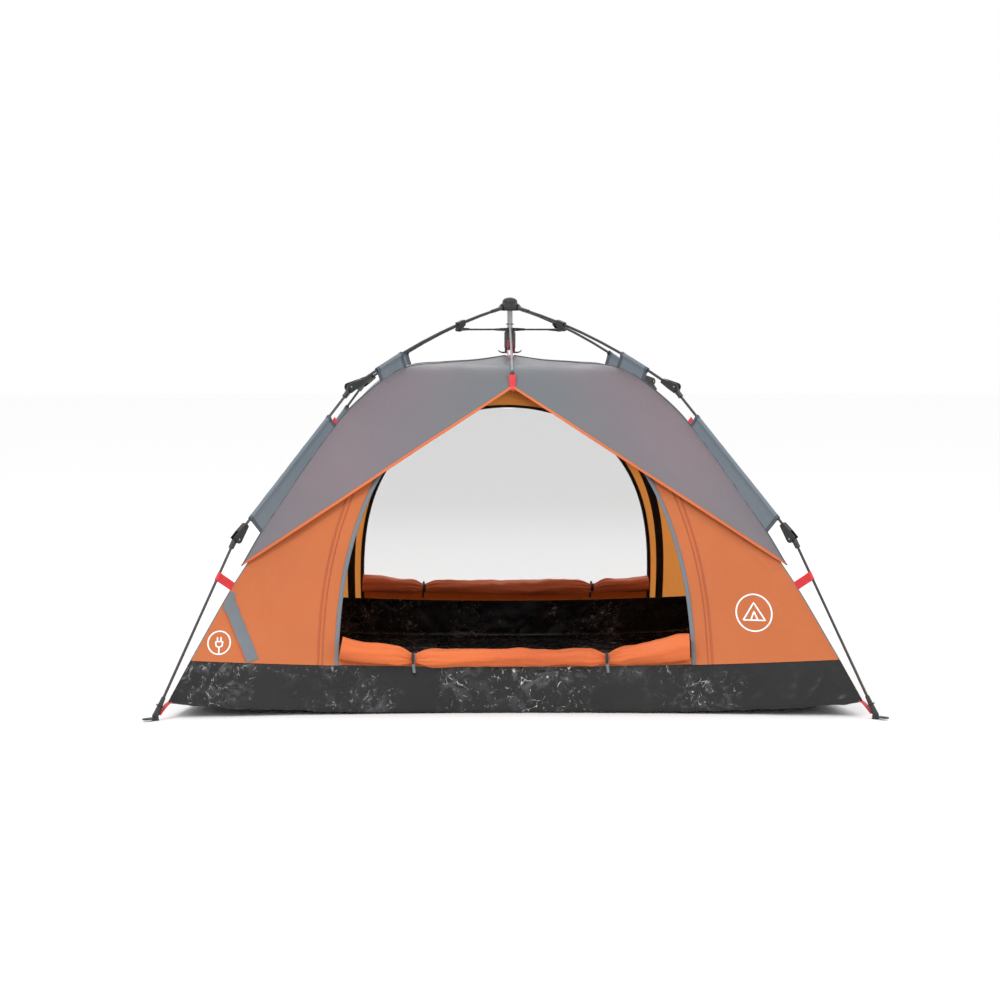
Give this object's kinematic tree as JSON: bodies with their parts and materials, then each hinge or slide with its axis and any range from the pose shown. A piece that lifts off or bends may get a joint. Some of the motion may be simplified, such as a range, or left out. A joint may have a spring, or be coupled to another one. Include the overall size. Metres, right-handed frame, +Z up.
{
  "type": "pop up tent",
  "caption": "Square dome tent with an outside umbrella frame of jointed legs, a rain fly, an inner tent with rolled-down doors and a waterproof tub floor.",
  "frame": {"origin": "on the ground under the hub, at the centre of the four feet", "axes": "+Z up; the door with the person-high opening faces -Y; +X is to the right when looking in at that door"},
  "size_m": [2.064, 2.064, 1.184],
  "materials": {
    "rod_black": "pultruded glass-fibre rod, black, satin gloss",
    "plastic_black": "moulded nylon, black, fine grain",
    "post_metal": "bright drawn tube",
    "fly_fabric": "coated grey polyester with a faint sheen",
    "sleeve_fabric": "slate grey polyester",
    "inner_fabric": "orange polyester taffeta",
    "mesh_net": "fine mosquito net",
    "tub_sheet": "black polyethylene sheet, crinkled and glossy",
    "webbing_red": "red woven webbing",
    "cord_grey": "grey braided elastic cord"
  },
  "bodies": {
    "root": {"hub_crown": "plastic_black", "hub_cap": "plastic_black", "hub_post": "post_metal", "fly": "fly_fabric", "front_wall": "inner_fabric", "right_wall": "inner_fabric", "rear_wall": "inner_fabric", "left_wall": "inner_fabric", "rear_screen": "mesh_net", "tub": "tub_sheet", "front_door_roll": "inner_fabric", "rear_door_roll": "inner_fabric", "peak_cord": "cord_grey"},
    "runner": {"runner": "plastic_black"},
    "release_lever_left": {"release_lever_left": "plastic_black"},
    "release_lever_right": {"release_lever_right": "plastic_black"},
    "arm_fl": {"arm_pole_fl": "rod_black", "upper_elbow_fork_fl": "plastic_black", "strut_bracket_fl": "plastic_black", "upper_sleeve_fl": "sleeve_fabric"},
    "middle_fl": {"middle_pole_fl": "rod_black", "lower_elbow_fork_fl": "plastic_black", "lower_sleeve_fl": "sleeve_fabric"},
    "lower_fl": {"lower_pole_fl": "rod_black", "foot_fl": "plastic_black", "corner_tie_fl": "webbing_red"},
    "strut_fl": {"strut_fl": "rod_black"},
    "arm_fr": {"arm_pole_fr": "rod_black", "upper_elbow_fork_fr": "plastic_black", "strut_bracket_fr": "plastic_black", "upper_sleeve_fr": "sleeve_fabric"},
    "middle_fr": {"middle_pole_fr": "rod_black", "lower_elbow_fork_fr": "plastic_black", "lower_sleeve_fr": "sleeve_fabric"},
    "lower_fr": {"lower_pole_fr": "rod_black", "foot_fr": "plastic_black", "corner_tie_fr": "webbing_red"},
    "strut_fr": {"strut_fr": "rod_black"},
    "arm_rr": {"arm_pole_rr": "rod_black", "upper_elbow_fork_rr": "plastic_black", "strut_bracket_rr": "plastic_black", "upper_sleeve_rr": "sleeve_fabric"},
    "middle_rr": {"middle_pole_rr": "rod_black", "lower_elbow_fork_rr": "plastic_black", "lower_sleeve_rr": "sleeve_fabric"},
    "lower_rr": {"lower_pole_rr": "rod_black", "foot_rr": "plastic_black", "corner_tie_rr": "webbing_red"},
    "strut_rr": {"strut_rr": "rod_black"},
    "arm_rl": {"arm_pole_rl": "rod_black", "upper_elbow_fork_rl": "plastic_black", "strut_bracket_rl": "plastic_black", "upper_sleeve_rl": "sleeve_fabric"},
    "middle_rl": {"middle_pole_rl": "rod_black", "lower_elbow_fork_rl": "plastic_black", "lower_sleeve_rl": "sleeve_fabric"},
    "lower_rl": {"lower_pole_rl": "rod_black", "foot_rl": "plastic_black", "corner_tie_rl": "webbing_red"},
    "strut_rl": {"strut_rl": "rod_black"}
  },
  "joints": [
    {"name": "hub_fold_fl", "type": "hinge", "parent": "root", "child": "arm_fl", "pos_m": [-0.01838, -0.01838, 1.152], "axis": [0.7071, -0.7071, 0], "range_deg": [0, 69.25], "deforming": ["fly", "front_wall", "right_wall", "rear_wall", "left_wall", "rear_screen", "tub", "front_door_roll", "rear_door_roll", "peak_cord", "upper_sleeve_fl", "lower_sleeve_fl", "corner_tie_fl", "upper_sleeve_fr", "lower_sleeve_fr", "corner_tie_fr", "upper_sleeve_rr", "lower_sleeve_rr", "corner_tie_rr", "upper_sleeve_rl", "lower_sleeve_rl", "corner_tie_rl"]},
    {"name": "upper_elbow_fl", "type": "hinge", "parent": "arm_fl", "child": "middle_fl", "pos_m": [-0.48352, -0.48352, 0.91127], "axis": [-0.7071, 0.7071, 0], "range_deg": [0, 196.9]},
    {"name": "lower_elbow_fl", "type": "hinge", "parent": "middle_fl", "child": "lower_fl", "pos_m": [-0.78836, -0.78835, 0.48447], "axis": [0.7071, -0.7071, 0], "range_deg": [0, 163]},
    {"name": "strut_swing_fl", "type": "hinge", "parent": "runner", "child": "strut_fl", "pos_m": [-0.00686, -0.02142, 1.083], "axis": [-0.7071, 0.7071, 0], "range_deg": [0, 86.4]},
    {"name": "hub_fold_fr", "type": "hinge", "parent": "root", "child": "arm_fr", "pos_m": [0.01838, -0.01838, 1.152], "axis": [0.7071, 0.7071, 0], "range_deg": [0, 69.25]},
    {"name": "upper_elbow_fr", "type": "hinge", "parent": "arm_fr", "child": "middle_fr", "pos_m": [0.48352, -0.48352, 0.91127], "axis": [-0.7071, -0.7071, 0], "range_deg": [0, 196.9]},
    {"name": "lower_elbow_fr", "type": "hinge", "parent": "middle_fr", "child": "lower_fr", "pos_m": [0.78835, -0.78836, 0.48447], "axis": [0.7071, 0.7071, 0], "range_deg": [0, 163]},
    {"name": "strut_swing_fr", "type": "hinge", "parent": "runner", "child": "strut_fr", "pos_m": [0.02142, -0.00686, 1.083], "axis": [-0.7071, -0.7071, 0], "range_deg": [0, 86.4]},
    {"name": "hub_fold_rr", "type": "hinge", "parent": "root", "child": "arm_rr", "pos_m": [0.01838, 0.01838, 1.152], "axis": [-0.7071, 0.7071, 0], "range_deg": [0, 69.25]},
    {"name": "upper_elbow_rr", "type": "hinge", "parent": "arm_rr", "child": "middle_rr", "pos_m": [0.48352, 0.48352, 0.91127], "axis": [0.7071, -0.7071, 0], "range_deg": [0, 196.9]},
    {"name": "lower_elbow_rr", "type": "hinge", "parent": "middle_rr", "child": "lower_rr", "pos_m": [0.78835, 0.78835, 0.48447], "axis": [-0.7071, 0.7071, 0], "range_deg": [0, 163]},
    {"name": "strut_swing_rr", "type": "hinge", "parent": "runner", "child": "strut_rr", "pos_m": [0.00686, 0.02142, 1.083], "axis": [0.7071, -0.7071, 0], "range_deg": [0, 86.4]},
    {"name": "hub_fold_rl", "type": "hinge", "parent": "root", "child": "arm_rl", "pos_m": [-0.01838, 0.01838, 1.152], "axis": [-0.7071, -0.7071, 0], "range_deg": [0, 69.25]},
    {"name": "upper_elbow_rl", "type": "hinge", "parent": "arm_rl", "child": "middle_rl", "pos_m": [-0.48352, 0.48352, 0.91127], "axis": [0.7071, 0.7071, 0], "range_deg": [0, 196.9]},
    {"name": "lower_elbow_rl", "type": "hinge", "parent": "middle_rl", "child": "lower_rl", "pos_m": [-0.78836, 0.78835, 0.48447], "axis": [-0.7071, -0.7071, 0], "range_deg": [0, 163]},
    {"name": "strut_swing_rl", "type": "hinge", "parent": "runner", "child": "strut_rl", "pos_m": [-0.02142, 0.00686, 1.083], "axis": [0.7071, 0.7071, 0], "range_deg": [0, 86.4]},
    {"name": "runner_slide", "type": "slide", "parent": "root", "child": "runner", "axis": [0, 0, -1], "range_m": [0, 0.35]},
    {"name": "lever_press_left", "type": "hinge", "parent": "runner", "child": "release_lever_left", "pos_m": [-0.0125, 0, 1.0115], "axis": [0, -1, 0], "range_deg": [0, 16], "stiffness_Nm_per_rad": 0.05},
    {"name": "lever_press_right", "type": "hinge", "parent": "runner", "child": "release_lever_right", "pos_m": [0.0125, 0, 1.0115], "axis": [0, 1, 0], "range_deg": [0, 16], "stiffness_Nm_per_rad": 0.05}
  ],
  "couplings": [
    {"joint": "upper_elbow_fl", "follows": "hub_fold_fl", "ratio": 2.8433},
    {"joint": "lower_elbow_fl", "follows": "hub_fold_fl", "ratio": 2.3538},
    {"joint": "strut_swing_fl", "follows": "hub_fold_fl", "ratio": 1.2477},
    {"joint": "hub_fold_fr", "follows": "hub_fold_fl", "ratio": 1},
    {"joint": "upper_elbow_fr", "follows": "hub_fold_fl", "ratio": 2.8433},
    {"joint": "lower_elbow_fr", "follows": "hub_fold_fl", "ratio": 2.3538},
    {"joint": "strut_swing_fr", "follows": "hub_fold_fl", "ratio": 1.2477},
    {"joint": "hub_fold_rr", "follows": "hub_fold_fl", "ratio": 1},
    {"joint": "upper_elbow_rr", "follows": "hub_fold_fl", "ratio": 2.8433},
    {"joint": "lower_elbow_rr", "follows": "hub_fold_fl", "ratio": 2.3538},
    {"joint": "strut_swing_rr", "follows": "hub_fold_fl", "ratio": 1.2477},
    {"joint": "hub_fold_rl", "follows": "hub_fold_fl", "ratio": 1},
    {"joint": "upper_elbow_rl", "follows": "hub_fold_fl", "ratio": 2.8433},
    {"joint": "lower_elbow_rl", "follows": "hub_fold_fl", "ratio": 2.3538},
    {"joint": "strut_swing_rl", "follows": "hub_fold_fl", "ratio": 1.2477},
    {"joint": "runner_slide", "follows": "hub_fold_fl", "m_per_rad": 0.28958}
  ]
}
